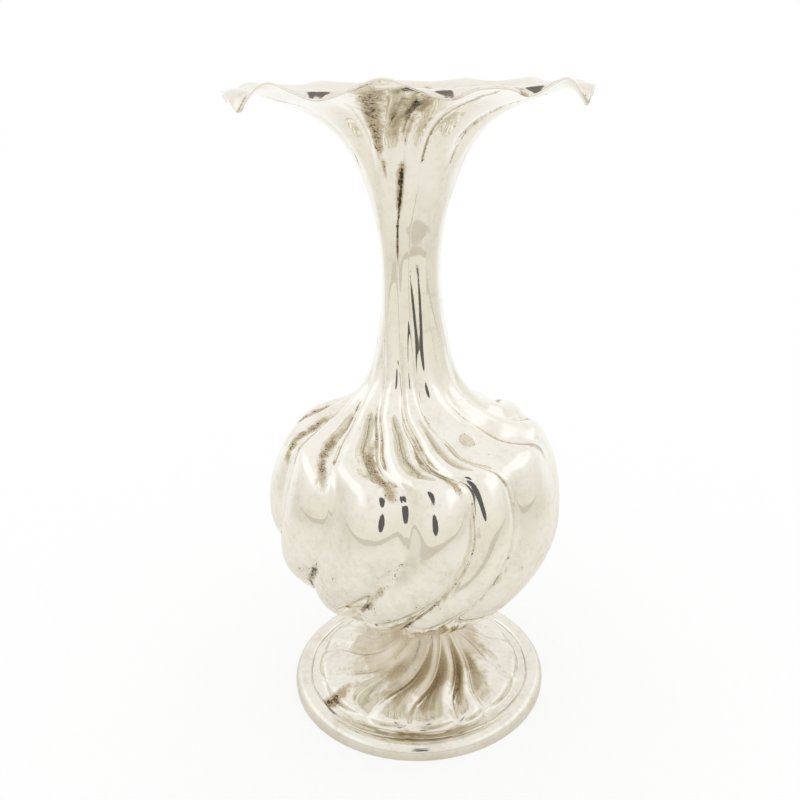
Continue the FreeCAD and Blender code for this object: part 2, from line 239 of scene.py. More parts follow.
# How much a stain, a crease, dust and noise drive the dirt; a crease drives it as painted shade as well as
# old polish.
STAIN_DIRT = 0.68
CREASE_SHADE_AND_DIRT_DRIVE = 0.22
DUST_DIRT = 0.34
SPECKS_DIRT = 2.2
MOTTLE_DIRT = 0.9
# How much rougher each film and the mottle make the silver.
FILM_ROUGHNESS = 0.3
HAZE_ROUGHNESS = 0.15
DIRT_ROUGHNESS = 0.4
MOTTLE_ROUGHNESS = 0.05
# Strength and height of the finest unevenness.
GRAIN_BUMP = (0.12, 0.0001)
RIPPLE_BUMP = (0.2, 0.0003)

WHITE = (1.0, 1.0, 1.0)
# How the floor's tones run in the silver: towards the back, away from the axis, and over the table's edge.
BACK_TURNS = (-0.1, 0.8)
TABLE_REACHES = (0.12, 0.6)
EDGE_FADE = 0.006
# Keeps the division by the distance from the axis off nought.
AXIS_GAP = 0.01
# How much of the floor the camera sees as plain white.
FLOOR_LIFT = 0.72
# How the tent's tones run, by the parts of a direction: to the front, to the back, up, and at the lamps.
FRONT_RUN = (-0.2, 0.9)
BACK_RUN = (0.1, 0.8)
RISE_RUN = (-0.2, 1.0)
RISE_REACH = 0.35
FRONT_RISE = 0.25
LAMP_SIDE_RUN = (0.5, 0.75)
LAMP_HEIGHT_RUN = (0.25, 0.12)
LAMP_HEIGHT = 0.5
LAMP_STRENGTH = 1.12
# Oval cards that show only in the silver. By the camera: name, width, height and level.
CARD_CORNERS = 24
CAMERA_CARDS = (("lens_card", 0.085, 0.1, 0.28), ("stand_card", 0.08, 0.1, 0.155))
# Over the mouth, seen in the rim's dips: place across and along, width and depth.
RIM_CARD_LEVEL = 0.36
RIM_CARDS = ((-0.06, 0.035, 0.024, 0.12), (0.029, 0.012, 0.02, 0.1), (0.072, 0.035, 0.028, 0.12))
# The camera's sensor in millimetres, and the nearest distance that it sees.
SENSOR_WIDTH = 36.0
NEAR_CLIP = 0.01


def length(name, description, default):
    """A size in metres that a user may change."""
    return FloatProperty(
        name=name, description=description, default=default, min=0.0, unit="LENGTH", precision=4
    )


def whole(name, description, default, least):
    """A whole number that a user may change."""
    return IntProperty(name=name, description=description, default=default, min=least)


def angle(name, description, degrees):
    """An angle that a user may change."""
    return FloatProperty(
        name=name, description=description, default=math.radians(degrees), subtype="ANGLE"
    )


def share(name, description, default):
    """A number from none to all that a user may change."""
    return FloatProperty(
        name=name, description=description, default=default, min=0.0, max=1.0, subtype="FACTOR"
    )


def colour(name, description, default):
    """A linear colour that a user may change."""
    return FloatVectorProperty(
        name=name, description=description, default=default, min=0.0, max=1.0, size=3, subtype="COLOR"
    )


class VaseForm(bpy.types.PropertyGroup):
    """Sizes of the vase."""

    foot_height: length("Foot height", "From the ground to the top of the stem", 0.031)
    collar_height: length("Collar height", "Thickness of the ring between stem and bulb", 0.0015)
    bowl_height: length("Bowl height", "Height of the lower bulb", 0.0775)
    shoulder_height: length("Shoulder height", "Height of the upper bulb", 0.04)
    neck_height: length("Neck height", "Height of the tube", 0.05)
    mouth_height: length("Mouth height", "Height over which the flare is spaced", 0.06)
    foot_diameter: length("Foot diameter", "Over the foot ring", 0.1136)
    stem_diameter: length("Stem diameter", "Over the stem's top", 0.024)
    bowl_base_diameter: length("Bowl base diameter", "Over the flat bottom of the bulb", 0.023)
    belly_diameter: length("Belly diameter", "Over the lobes of the bulb", 0.1244)
    neck_root_diameter: length("Neck root diameter", "Over the lobes where the neck starts", 0.036)
    waist_diameter: length("Waist diameter", "Over the narrowest part of the neck", 0.0238)
    rim_diameter: length("Rim diameter", "Over the lobes of the rim", 0.134)
    wall: length("Wall", "Thickness of the sheet", 0.0008)
    foot_flute_depth: length("Foot flute depth", "Set-back of the foot's creases", 0.0026)
    belly_flute_depth: length("Belly flute depth", "Set-back of the belly's creases", 0.005)
    shoulder_flute_depth: length("Shoulder flute depth", "Set-back of the shoulder's creases", 0.0046)
    neck_flute_depth: length("Neck flute depth", "Set-back of the neck's creases", 0.0011)
    mouth_flute_depth: length("Mouth flute depth", "Set-back of the flare's creases", 0.0026)
    rim_wave_height: length("Rim wave height", "From the lowest trough to the highest crest", 0.01)
    ring_width: length("Ring width", "Width of the foot ring's band", 0.0074)
    ring_height: length("Ring height", "Height of the foot ring's crown", 0.0066)
    ring_edge_height: length("Ring edge height", "Height of the straight outer edge", 0.0008)
    ledge_width: length("Ledge width", "Width of the ledge under the foot's hem", 0.002)
    ledge_height: length("Ledge height", "Height of the ledge under the foot's hem", 0.0042)
    collar_width: length("Collar width", "How far the collar reaches in from the stem", 0.0034)
    collar_overhang: length("Collar overhang", "How far the collar stands out from the stem", 0.0012)
    ring_crown: share("Ring crown", "Where the ring is highest, from its outside", 0.57)


class VaseSurface(bpy.types.PropertyGroup):
    """How finely the sheet is meshed and how uneven it is."""

    rings_between: whole("Rings", "Rings from station to station", 8, 2)
    arc_columns: whole("Columns", "Columns in each lobe", 30, 8)
    dent_height: length("Dent height", "How far hammering moves the sheet", 0.0003)
    dent_size: length("Dent size", "Distance from dent to dent", 0.026)
    seed: whole("Seed", "Another pattern of dents", 4, 0)
    clearance: length("Clearance", "How much smaller the sheet is drawn than its named sizes", 0.00015)
    edge_rings: whole("Edge rings", "Rings over the rounded rim", 5, 3)
    turned_steps: whole("Turned steps", "Steps round a turned ring", 256, 32)


class VaseSilver(bpy.types.PropertyGroup):
    """Colours of the metal."""

    metal: colour("Silver", "Polished silver", (0.926, 0.908, 0.846))
    # The haze colour also paints shade over the foot.
    haze_and_foot_shade: colour("Haze", "Thin dull film over the whole metal", (0.6, 0.565, 0.47))
    tarnish: colour("Tarnish", "Golden film in the flutes", (0.48, 0.38, 0.22))
    crust: colour("Crust", "Brown tarnish where it is thickest", (0.19, 0.12, 0.06))
    # The dark colour is old polish, and near every crease it also paints shade.
    dirt_and_crease_shade: colour("Dirt", "Old dark polish in the deepest places", (0.06, 0.045, 0.035))
    polish: share("Roughness", "Roughness of the polished metal", 0.05)
    inside_film: share("Film inside", "How much tarnish lies inside the vase", 0.12)


class VaseStudio(bpy.types.PropertyGroup):
    """Camera and surroundings."""

    lens: FloatProperty(name="Lens", description="Focal length of the camera", default=39.0, unit="CAMERA")
    camera_distance: length("Camera distance", "From the vase's axis to the camera, level", 0.3337)
    camera_height: length("Camera height", "From the ground to the camera", 0.2661)
    camera_pitch: angle("Pitch", "How far the camera looks down", 21.24)
    camera_roll: angle("Roll", "How far the camera leans", -1.05)
    shift: FloatProperty(name="Shift", description="Sideways shift of the lens", default=-0.0174)
    floor_width: length("Floor width", "Width of the floor", 8.0)
    table_reach: length("Table reach", "From the vase's axis to the table's front edge", 0.42)
    edge_height: length("Edge height", "Height of the dull strip along the table's front edge", 0.043)
    table: colour("Table", "Colour of the table in the silver", (0.93, 0.9, 0.84))
    edge: colour("Edge", "Colour of the strip along the table's front edge", (0.665, 0.62, 0.535))
    dark_card: colour("Dark card", "Colour of the cards by the camera", (0.12, 0.117, 0.11))
    shaded_card: colour("Shaded card", "Colour of the cards over the mouth", (0.2, 0.18, 0.17))
    room: colour("Room", "Colour of the room round the camera", (0.85, 0.815, 0.725))
    sides: colour("Sides", "Colour of the tent's sides near the table", (0.8, 0.765, 0.7))
    far_table: colour("Far table", "Colour of the table's far parts in the silver", (0.79, 0.755, 0.68))
    backdrop: colour("Backdrop", "Colour behind the vase in the silver", (1.0, 1.0, 0.99))
    tent: colour("Tent", "Colour of the tent overhead", (0.98, 0.955, 0.93))
    lamps: colour("Lamps", "Colour of the tent's sides where the lamps shine through", (1.0, 1.0, 1.0))


def both_ways(operation):
    """The methods of an operator, with the value on its left and on its right."""

    def ahead(self, other):
        return self.maths(operation, self, other)

    def behind(self, other):
        return self.maths(operation, other, self)

    return ahead, behind


class Value:
    """An output of a node tree that takes part in expressions, as a number or as a vector."""

    def __init__(self, plan, socket):
        self.plan = plan
        self.socket = socket

    def other(self, name):
        """Another output of the same node."""
        return Value(self.plan, self.socket.node.outputs[name])

    def maths(self, operation, *operands):
        vectors = [isinstance(item, Value) and item.socket.type == "VECTOR" for item in operands]
        if operation == "MULTIPLY" and any(vectors) and not all(vectors):
            arrow, number = operands if vectors[0] else reversed(operands)
            return self.plan.node("ShaderNodeVectorMath", {"operation": "SCALE"}, {0: arrow, "Scale": number})
        kind = "ShaderNodeVectorMath" if any(vectors) else "ShaderNodeMath"
        return self.plan.node(kind, {"operation": operation}, dict(enumerate(operands)))

    __add__, __radd__ = both_ways("ADD")
    __sub__, __rsub__ = both_ways("SUBTRACT")
    __mul__, __rmul__ = both_ways("MULTIPLY")
    __truediv__, __rtruediv__ = both_ways("DIVIDE")
    __mod__, __rmod__ = both_ways("FLOORED_MODULO")


class Plan:
    """Adds nodes to a tree and hands back their outputs."""

    def __init__(self, tree):
        self.tree = tree

    def node(self, kind, settings=None, sockets=None, output=0):
        made = self.tree.nodes.new(kind)
        for name, value in (settings or {}).items():
            setattr(made, name, value)
        for name, value in (sockets or {}).items():
            if isinstance(value, Value):
                self.tree.links.new(value.socket, made.inputs[name])
            else:
                made.inputs[name].default_value = value
        return Value(self, made.outputs[output]) if made.outputs else made

    def apart(self, vector):
        """The three parts of a vector."""
        first = self.node("ShaderNodeSeparateXYZ", sockets={0: vector})
        return first, first.other("Y"), first.other("Z")

    def together(self, across, along, up):
        return self.node("ShaderNodeCombineXYZ", sockets={0: across, 1: along, 2: up})

    def vector(self, operation, *operands, output=0):
        return self.node("ShaderNodeVectorMath", {"operation": operation}, dict(enumerate(operands)), output)

    def number(self, operation, *operands):
        return self.node("ShaderNodeMath", {"operation": operation}, dict(enumerate(operands)))

    def dot(self, first, second):
        return self.vector("DOT_PRODUCT", first, second, output="Value")

    def cross(self, first, second):
        return self.vector("CROSS_PRODUCT", first, second)

    def unit(self, vector):
        return self.vector("NORMALIZE", vector)

    def size(self, vector):
        return self.vector("LENGTH", vector, output="Value")

    def ramp(self, value, low, high):
        """Nought below low, one above high, and smooth between."""
        settings = {"interpolation_type": "SMOOTHSTEP"}
        return self.node("ShaderNodeMapRange", settings, {"Value": value, 1: low, 2: high})

    def mixed(self, factor, first, second):
        """Two colours by a factor."""
        first, second = (tone if isinstance(tone, Value) else (*tone, 1.0) for tone in (first, second))
        return self.node("ShaderNodeMix", {"data_type": "RGBA"}, {0: factor, 6: first, 7: second}, output=2)

    def shone(self, tone):
        """Plain light of one tone."""
        return self.node("ShaderNodeEmission", sockets={"Color": (*tone, 1.0)})

    def joined(self, factor, first, second):
        """Two shaders by a factor."""
        return self.node("ShaderNodeMixShader", sockets={0: factor, 1: first, 2: second})


def spline_rows(values, steps):
    """Rows between the stations on a natural cubic spline, with the stations among them."""
    values = np.asarray(values, dtype=float)
    count = len(values)
    matrix = np.eye(count)
    bends = np.zeros_like(values)
    for row in range(1, count - 1):
        matrix[row, row - 1:row + 2] = (1, 4, 1)
        bends[row] = 6 * (values[row - 1] - 2 * values[row] + values[row + 1])
    bends = np.linalg.solve(matrix, bends)
    rows = []
    for index in range(count - 1):
        for step in range(steps):
            b = step / steps
            a = 1 - b
            pull = (a**3 - a) * bends[index] + (b**3 - b) * bends[index + 1]
            rows.append(a * values[index] + b * values[index + 1] + pull / 6)
    rows.append(values[LAST])
    return np.array(rows)


def profile_normals(profile):
    """Unit normals of (radius, level) rows, towards the inside of the sheet."""
    run = np.empty_like(profile)
    run[1:-1] = profile[2:] - profile[:-2]
    run[0] = profile[1] - profile[0]
    run[LAST] = profile[LAST] - profile[-2]
    turned = np.stack((-run[:, 1], run[:, 0]), axis=1)
    return turned / np.linalg.norm(turned, axis=1)[:, None]


def station_rows(table, start, height, inner_radius, outer_radius, depth):
    """Radius, level, flute depth, turn and wave share of each station of one shell."""
    return [
        (
            inner_radius + (outer_radius - inner_radius) * row[1],
            start + height * row[0],
            depth * row[2],
            math.radians(row[3]),
            row[4] if len(row) > 4 else 0.0,
        )
        for row in table
    ]


class LobedSheet:
    """Everything that the tree needs for one lobed sheet, ring by ring.

    At the seams the creases lie level with the crests. From the station blend_from on, the lobes go over to
    their angles at the rim.
    """

    def __init__(self, stations, seams, form, surface, blend_from):
        steps = surface.rings_between
        stations = np.array(stations)
        line = stations[:, :2]
        valley = line + profile_normals(line) * stations[:, 2:3]
        for seam in seams:
            valley[seam, 1] = line[seam, 1]
        last = len(stations) - 1
        blend = np.clip((np.arange(last + 1) - blend_from) / (last - blend_from), 0, 1)
        waves = stations[:, 4] * form.rim_wave_height
        rows = spline_rows(np.column_stack((line, valley, stations[:, 3], waves, blend)), steps)
        self.turn = rows[:, 4]
        self.wave = rows[:, 5]
        self.blend = np.clip(rows[:, 6], 0, 1)
        smaller = np.column_stack((np.ones(len(rows)), self.blend**CLEARANCE_POWER)) * surface.clearance
        self.crest = rows[:, 0:2] - smaller
        self.crease = rows[:, 2:4] - smaller
        away = [np.abs(np.arange(len(rows)) - end * steps) / (steps * CALM_STATIONS) for end in (0, last)]
        self.calm = np.clip(np.min(away, axis=0), 0, 1)
        hardened = (self.blend - HARDENING_START_SHARE) / (1 - HARDENING_START_SHARE)
        self.softness = 1 + NECK_SOFTENING * window(self.crest[:, 1], *NECK_LEVELS, NECK_FADE)
        self.softness -= RIM_HARDENING * np.clip(hardened, 0, 1)
        self.wall = form.wall

    def lines(self, inner):
        """Crest and crease lines of the outer or the inner side."""
        if not inner:
            return self.crest, self.crease
        return tuple(side + profile_normals(side) * self.wall for side in (self.crest, self.crease))


def named_points(name, attributes):
    """A mesh of loose points that carries named vectors."""
    count = len(next(iter(attributes.values())))
    mesh = bpy.data.meshes.new(name)
    mesh.from_pydata([(0, 0, 0)] * count, [], [])
    for key, rows in attributes.items():
        layer = mesh.attributes.new(key, "FLOAT_VECTOR", "POINT")
        layer.data.foreach_set("vector", np.asarray(rows, dtype=np.float32).ravel())
    made = bpy.data.objects.new(name, mesh)
    bpy.context.scene.collection.objects.link(made)
    return made


def three_point_arc(plan, start, middle, end, place):
    """A point at a share of the way along the arc through three points, and the length of the arc."""
    first = middle - start
    chord = end - start
    axis = plan.cross(chord, first)
    pull = first * plan.dot(chord, chord) - chord * plan.dot(first, first)
    square = plan.number("MAXIMUM", plan.dot(axis, axis), LEAST_SQUARE)
    centre = start + plan.cross(pull, axis) * (0.5 / square)
    spoke = start - centre
    radius = plan.size(spoke)
    ahead = plan.unit(spoke)
    across = plan.cross(plan.unit(plan.cross(first, chord)), ahead)
    last = end - centre
    sweep = plan.number("ARCTAN2", plan.dot(last, across), plan.dot(last, ahead))
    turned = sweep * place
    point = centre + ahead * (radius * plan.number("COSINE", turned))
    point = point + across * (radius * plan.number("SINE", turned))
    return point, radius * sweep


def lobed_tree():
    """The tree that sweeps one side of a lobed sheet over its rings."""
    tree = bpy.data.node_groups.new("Lobed sheet", "GeometryNodeTree")
    sockets = (
        ("Rings", "NodeSocketGeometry"),
        ("Lobes", "NodeSocketObject"),
        ("Ring count", "NodeSocketInt"),
        ("Columns", "NodeSocketInt"),
        ("Dent height", "NodeSocketFloat"),
        ("Dent size", "NodeSocketFloat"),
        ("Seed", "NodeSocketInt"),
        ("Material", "NodeSocketMaterial"),
    )
    for name, kind in sockets:
        tree.interface.new_socket(name, in_out="INPUT", socket_type=kind)
    tree.interface.new_socket("Sheet", in_out="OUTPUT", socket_type="NodeSocketGeometry")
    plan = Plan(tree)
    rings = plan.node("NodeGroupInput")
    columns = rings.other("Columns")
    around = columns * float(LOBES)
    lobes = plan.node("GeometryNodeObjectInfo", sockets={"Object": rings.other("Lobes")}).other("Geometry")
    grid_sockets = {"Vertices X": rings.other("Ring count"), "Vertices Y": around}
    grid = plan.node("GeometryNodeMeshGrid", sockets=grid_sockets)

    number = plan.node("GeometryNodeInputIndex")
    column = number % around
    ring = plan.number("FLOOR", (number + 0.5) / around)
    lobe = plan.number("FLOOR", (column + 0.5) / columns)
    place = (column - lobe * columns) / columns

    def sampled(source, name, index):
        settings = {"data_type": "FLOAT_VECTOR", "domain": "POINT"}
        named = plan.node("GeometryNodeInputNamedAttribute", {"data_type": "FLOAT_VECTOR"}, {"Name": name})
        taken = {"Geometry": source, "Value": named, "Index": index}
        return plan.node("GeometryNodeSampleIndex", settings, taken)

    crest_radius, crest_level, wave = plan.apart(sampled(rings, "crest", ring))
    crease_radius, crease_level, calm = plan.apart(sampled(rings, "crease", ring))
    turn, blend, softness = plan.apart(sampled(rings, "turning", ring))
    edges = []
    for index in (lobe, lobe + 1.0):
        low, high, trough = plan.apart(sampled(lobes, "angles", index))
        crease_angle = turn + low + (high - low) * blend
        edges.append((crease_angle, trough, plan.apart(sampled(lobes, "heights", index))))
    (first_angle, first_trough, first_marks), (last_angle, last_trough, last_marks) = edges
    crest_share, first_round, first_valley = first_marks
    _, last_round, last_valley = last_marks

    def radial(bearing, radius, level):
        x, y = (plan.number(operation, bearing) for operation in ("SINE", "COSINE"))
        return plan.together(radius * x, radius * y * -1.0, level)

    middle_angle = (first_angle + last_angle) * 0.5
    start = radial(first_angle, crease_radius, crease_level)
    end = radial(last_angle, crease_radius, crease_level)
    crest = radial(middle_angle, crest_radius, crest_level)
    point, arc = three_point_arc(plan, start, crest, end, place)

    rise = crest - (start + end) * 0.5
    outward = plan.dot(rise, radial(middle_angle, 1.0, 0.0))
    upward = plan.apart(rise)[2]
    tilt = plan.unit(plan.together(outward, upward, 0.0))
    tilt_out, tilt_up, _ = plan.apart(tilt)
    x, y, z = plan.apart(point)
    level_side = plan.unit(plan.together(x, y, 0.0))
    side_x, side_y, _ = plan.apart(level_side)
    lift = plan.together(side_x * tilt_out, side_y * tilt_out, tilt_up)

    half = plan.size(end - start) * 0.5
    bulge = plan.size(rise)

    def fillet(distance, width):
        return plan.number("SQRT", distance * distance + width * width) - distance

    def bell(distance, width):
        spread = distance / width
        return plan.number("EXPONENT", spread * spread * -1.0)

    depth = plan.size(plan.together(crest_radius - crease_radius, crest_level - crease_level, 0.0))
    sides = ((arc * place, first_round, first_valley), (arc * (1 - place), last_round, last_valley))
    filled = 0.0
    for distance, rounding, valley in sides:
        width = half * rounding * softness
        sunk = bell(distance, half * VALLEY_WIDTH_SHARE) * valley * depth * VALLEY_DEPTH_SHARE
        filling = fillet(distance, width) - fillet(arc * 0.5, width)
        filled = filled + filling * (bulge / half * BULGE_FILL_SHARE + FILL_SHARE) - sunk
    facet = plan.ramp(crest_level, *FACET_START_LEVELS) * plan.ramp(crest_level, *FACET_END_LEVELS)
    facet = facet * bell(place - FACET_PLACE_SHARE, FACET_WIDTH_SHARE) * FACET_DEPTH_SHARE
    facet = facet * plan.number("COMPARE", lobe, float(FACET_LOBE), 0.5)
    point = point + lift * (filled - facet * bulge)

    raised = bell(place - 0.5, CREST_WIDTH_SHARE) * crest_share * CREST_SIDE_SHARE
    dipped = bell(place, TROUGH_WIDTH_SHARE) * first_trough
    dipped = dipped + bell(1 - place, TROUGH_WIDTH_SHARE) * last_trough
    point = point + plan.together(0.0, 0.0, wave * (raised - dipped * (1 - CREST_SIDE_SHARE)))

    scale = 1 / rings.other("Dent size")
    pattern = {"Vector": point, "W": rings.other("Seed"), "Scale": scale, "Detail": 1.0}
    dents = plan.node("ShaderNodeTexNoise", {"noise_dimensions": "4D"}, pattern)
    point = point + lift * ((dents - 0.5) * rings.other("Dent height") * calm)

    shaped = plan.node("GeometryNodeSetPosition", sockets={"Geometry": grid, "Position": point})
    real = plan.node("GeometryNodeRealizeInstances", sockets={0: shaped})
    dressed = plan.node(
        "GeometryNodeSetMaterial", sockets={"Geometry": real, "Material": rings.other("Material")}
    )
    plan.node("NodeGroupOutput", sockets={0: dressed})
    return tree


def lobe_table(low_angles, high_angles):
    """The mesh that carries the lobes' angles and heights, with the first lobe again after the last."""
    low, high = (np.radians(np.concatenate(([0], np.cumsum(table)))) for table in (low_angles, high_angles))
    shares = (TROUGH_SHARES, CREST_SHARES, CREASE_ROUND_SHARES, VALLEY_SHARES)
    troughs, crests, rounds, valleys = (np.append(table, table[0]) for table in shares)
    angles = np.column_stack((low, high, troughs))
    heights = np.column_stack((crests, rounds, valleys))
    return named_points("lobe_table", {"angles": angles, "heights": heights})


def swept(tree, sheet, inner, surface, lobes, material):
    """The points of one side of a sheet, as rings by columns, from the evaluated tree."""
    crest, crease = sheet.lines(inner)
    rings = named_points(
        "rings",
        {
            "crest": np.column_stack((crest, sheet.wave)),
            "crease": np.column_stack((crease, sheet.calm)),
            "turning": np.column_stack((sheet.turn, sheet.blend, sheet.softness)),
        },
    )
    modifier = rings.modifiers.new("Lobed sheet", "NODES")
    modifier.node_group = tree
    inputs = {
        "Lobes": lobes,
        "Ring count": len(crest),
        "Columns": surface.arc_columns,
        "Dent height": surface.dent_height,
        "Dent size": surface.dent_size,
        "Seed": surface.seed,
        "Material": material,
    }
    for item in tree.interface.items_tree:
        if item.in_out == "INPUT" and item.name in inputs:
            modifier[item.identifier] = inputs[item.name]
    graph = bpy.context.evaluated_depsgraph_get()
    mesh = bpy.data.meshes.new_from_object(rings.evaluated_get(graph), depsgraph=graph)
    points = np.empty(len(mesh.vertices) * 3, dtype=np.float32)
    mesh.vertices.foreach_get("co", points)
    rings.modifiers.remove(modifier)
    bpy.data.meshes.remove(mesh)
    bpy.data.objects.remove(rings)
    return points.reshape(len(crest), LOBES * surface.arc_columns, 3).astype(float)


def grid_normals(points):
    """Outward unit normals of a closed grid of rings by columns."""
    along = np.roll(points, -1, axis=1) - np.roll(points, 1, axis=1)
    up = np.gradient(points, axis=0)
    found = np.cross(along, up)
    return found / np.linalg.norm(found, axis=2, keepdims=True)


def wrapped(distance):
    """A distance round the twelve lobes, the short way."""
    return (distance + LOBES / 2) % LOBES - LOBES / 2


def window(level, low, high, soft):
    """One between two levels, fading to nought outside them."""
    rise = np.clip((level - low) / soft + 0.5, 0, 1)
    fall = np.clip((high - level) / soft + 0.5, 0, 1)
    return rise * rise * (3 - 2 * rise) * fall * fall * (3 - 2 * fall)


def stained(points, stains):
    """How strongly each point is tarnished, from rows of crease, offset, half width, levels and strength."""
    columns = points.shape[1]
    place = np.arange(columns)[None, :] * LOBES / columns
    level = points[:, :, 2]
    total = np.zeros(level.shape)
    for crease, offset, half, low, high, strength in stains:
        near = np.exp(-((wrapped(place - crease - offset) / half) ** 2))
        total = np.maximum(total, near * window(level, low, high, STAIN_FADE) * strength)
    return total


def grooved(points, width):
    """How close each point is to a crease, one on it and nought a few widths away."""
    columns = points.shape[1]
    place = np.arange(columns) * LOBES / columns
    radius = np.hypot(points[:, :, 0], points[:, :, 1])
    away = np.abs(place - np.round(place))[None, :] * radius * TURN / LOBES
    return np.exp(-((away / width) ** 2))


class Skin:
    """Both sides of a lobed sheet with their normals and marks."""

    def __init__(self, sheet, surface, low_angles, high_angles, material, stains):
        tree = lobed_tree()
        lobes = lobe_table(low_angles, high_angles)
        self.outer = swept(tree, sheet, False, surface, lobes, material)
        self.inner = swept(tree, sheet, True, surface, lobes, material)
        bpy.data.objects.remove(lobes)
        self.outer_normals = grid_normals(self.outer)
        self.inner_normals = -grid_normals(self.inner)
        self.stain = stained(self.outer, stains)
        # Closeness to a crease, which paints shade as well as dirt along every crease.
        self.crease_shade_and_dirt = grooved(self.outer, CREASE_SHADE_AND_DIRT_WIDTH)

    def marks(self, row, inside):
        """Stain, closeness to a crease (which paints shade and dirt) and how far inside the vase a ring lies.
        """
        stain = self.stain[row]
        return np.column_stack((stain, self.crease_shade_and_dirt[row], np.full(len(stain), float(inside))))

    def ring(self, row, inside):
        points = self.inner if inside else self.outer
        normals = self.inner_normals if inside else self.outer_normals
        return points[row], normals[row], self.marks(row, inside)

    def edge(self, row, steps):
        """Rings over the rounded edge at the end of the sheet, from the outside to the inside."""
        across = (self.outer[row] - self.inner[row]) / 2
        middle = (self.outer[row] + self.inner[row]) / 2
        beyond = np.cross(across, np.roll(middle, -1, axis=0) - np.roll(middle, 1, axis=0))
        beyond *= (np.linalg.norm(across, axis=1) / np.linalg.norm(beyond, axis=1))[:, None]
        if np.sum(beyond * (self.outer[row] - self.outer[row - 1])) < 0:
            beyond = -beyond
        rings = []
        for step in range(1, steps + 1):
            lean = math.pi * step / (steps + 1)
            spoke = across * math.cos(lean) + beyond * math.sin(lean)
            facing = spoke / np.linalg.norm(spoke, axis=1)[:, None]
            rings.append((middle + spoke, facing, self.marks(row, 0.5)))
        return rings


def add_piece(name, mesh, node, material):
    """Puts a finished mesh in the scene in place of a CAD node."""
    mesh.materials.clear()
    mesh.materials.append(material)
    made = bpy.data.objects.new(name, mesh)
    bpy.context.scene.collection.objects.link(made)
    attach(made, "root")
    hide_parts(node)
    return made


def ringed_mesh(name, rings, hard, lids=()):
    """A closed mesh through rings of points, each joined to the next and the last to the first.

    Bands after the rings in hard are flat. A lid is a fan over a ring: the ring and whether it faces up. With
    lids, the last ring isn't joined to the first.
    """
    columns = len(rings[0][0])
    points = np.concatenate([ring[0] for ring in rings])
    normals = np.concatenate([ring[1] for ring in rings])
    marks = np.concatenate([ring[2] for ring in rings])
    here = np.arange(columns)
    following = (here + 1) % columns
    faces = []
    corners = []
    bands = len(rings) - 1 if lids else len(rings)
    for band in range(bands):
        low = band * columns
        high = (band + 1) % len(rings) * columns
        quads = np.column_stack((low + here, low + following, high + following, high + here))
        faces.extend(quads.tolist())
        if band in hard:
            sides = points[quads]
            flat = np.cross(sides[:, 2] - sides[:, 0], sides[:, 3] - sides[:, 1])
            flat /= np.maximum(np.linalg.norm(flat, axis=1), LEAST_LENGTH)[:, None]
            corners.append(np.repeat(flat, 4, axis=0))
        else:
            corners.append(normals[quads].reshape(-1, 3))
    for ring, faces_up in lids:
        start = ring * columns
        centre = len(points)
        points = np.vstack((points, points[start:start + columns].mean(axis=0)))
        marks = np.vstack((marks, marks[start]))
        pair = (start + here, start + following) if faces_up else (start + following, start + here)
        fans = np.column_stack((np.full(columns, centre), *pair))
        faces.extend(fans.tolist())
        corners.append(np.tile((0.0, 0.0, 1.0 if faces_up else -1.0), (columns * 3, 1)))
    mesh = bpy.data.meshes.new(name)
    mesh.from_pydata(points.tolist(), [], faces)
    for key, column in zip(("stain", "crease_shade_and_dirt", "inside"), marks.T):
        mesh.attributes.new(key, "FLOAT", "POINT").data.foreach_set("value", column.astype(np.float32))
    mesh.polygons.foreach_set("use_smooth", [True] * len(faces))
    mesh.normals_split_custom_set(np.concatenate(corners).tolist())
    mesh.update()
    return mesh


def walled_piece(name, skin, first, last, edge_rings=0, bottom=False):
    """A closed wall between two rings of a sheet, with a flat seam or a rounded edge at its end."""
    outside = [skin.ring(row, False) for row in range(first, last + 1)]
    inside = [skin.ring(row, True) for row in range(last, first - 1, -1)]
    edge = skin.edge(last, edge_rings) if edge_rings else []
    rings = outside + edge + inside
    hard = set() if bottom else {len(rings) - 1}
    if not edge:
        hard.add(len(outside) - 1)
    lids = ((0, False), (len(rings) - 1, True)) if bottom else ()
    return ringed_mesh(name, rings, hard, lids)


def turned_mesh(name, outline, steps):
    """A closed ring turned from an outline of (radius, level) points, listed anticlockwise."""
    angles = np.arange(steps) * TURN / steps
    points = [(r * math.sin(a), -r * math.cos(a), z) for r, z in outline for a in angles]
    faces = []
    count = len(outline)
    for row in range(count):
        low = row * steps
        high = (row + 1) % count * steps
        turned = [(step, (step + 1) % steps) for step in range(steps)]
        faces.extend((low + here, low + beside, high + beside, high + here) for here, beside in turned)
    mesh = bpy.data.meshes.new(name)
    mesh.from_pydata(points, [], faces)
    mesh.polygons.foreach_set("use_smooth", [True] * len(faces))
    mesh.set_sharp_from_angle(angle=math.radians(SHARP_DEGREES))
    return mesh


def level_arc(tip, end, steps):
    """Points on the arc between two (radius, level) points that runs level at its tip."""
    across = end[0] - tip[0]
    down = tip[1] - end[1]
    radius = (across**2 + down**2) / (2 * down)
    sweep = math.atan2(across, radius - down)
    turns = [sweep * step / steps for step in range(steps + 1)]
    return [(tip[0] + radius * math.sin(turn), tip[1] - radius + radius * math.cos(turn)) for turn in turns]


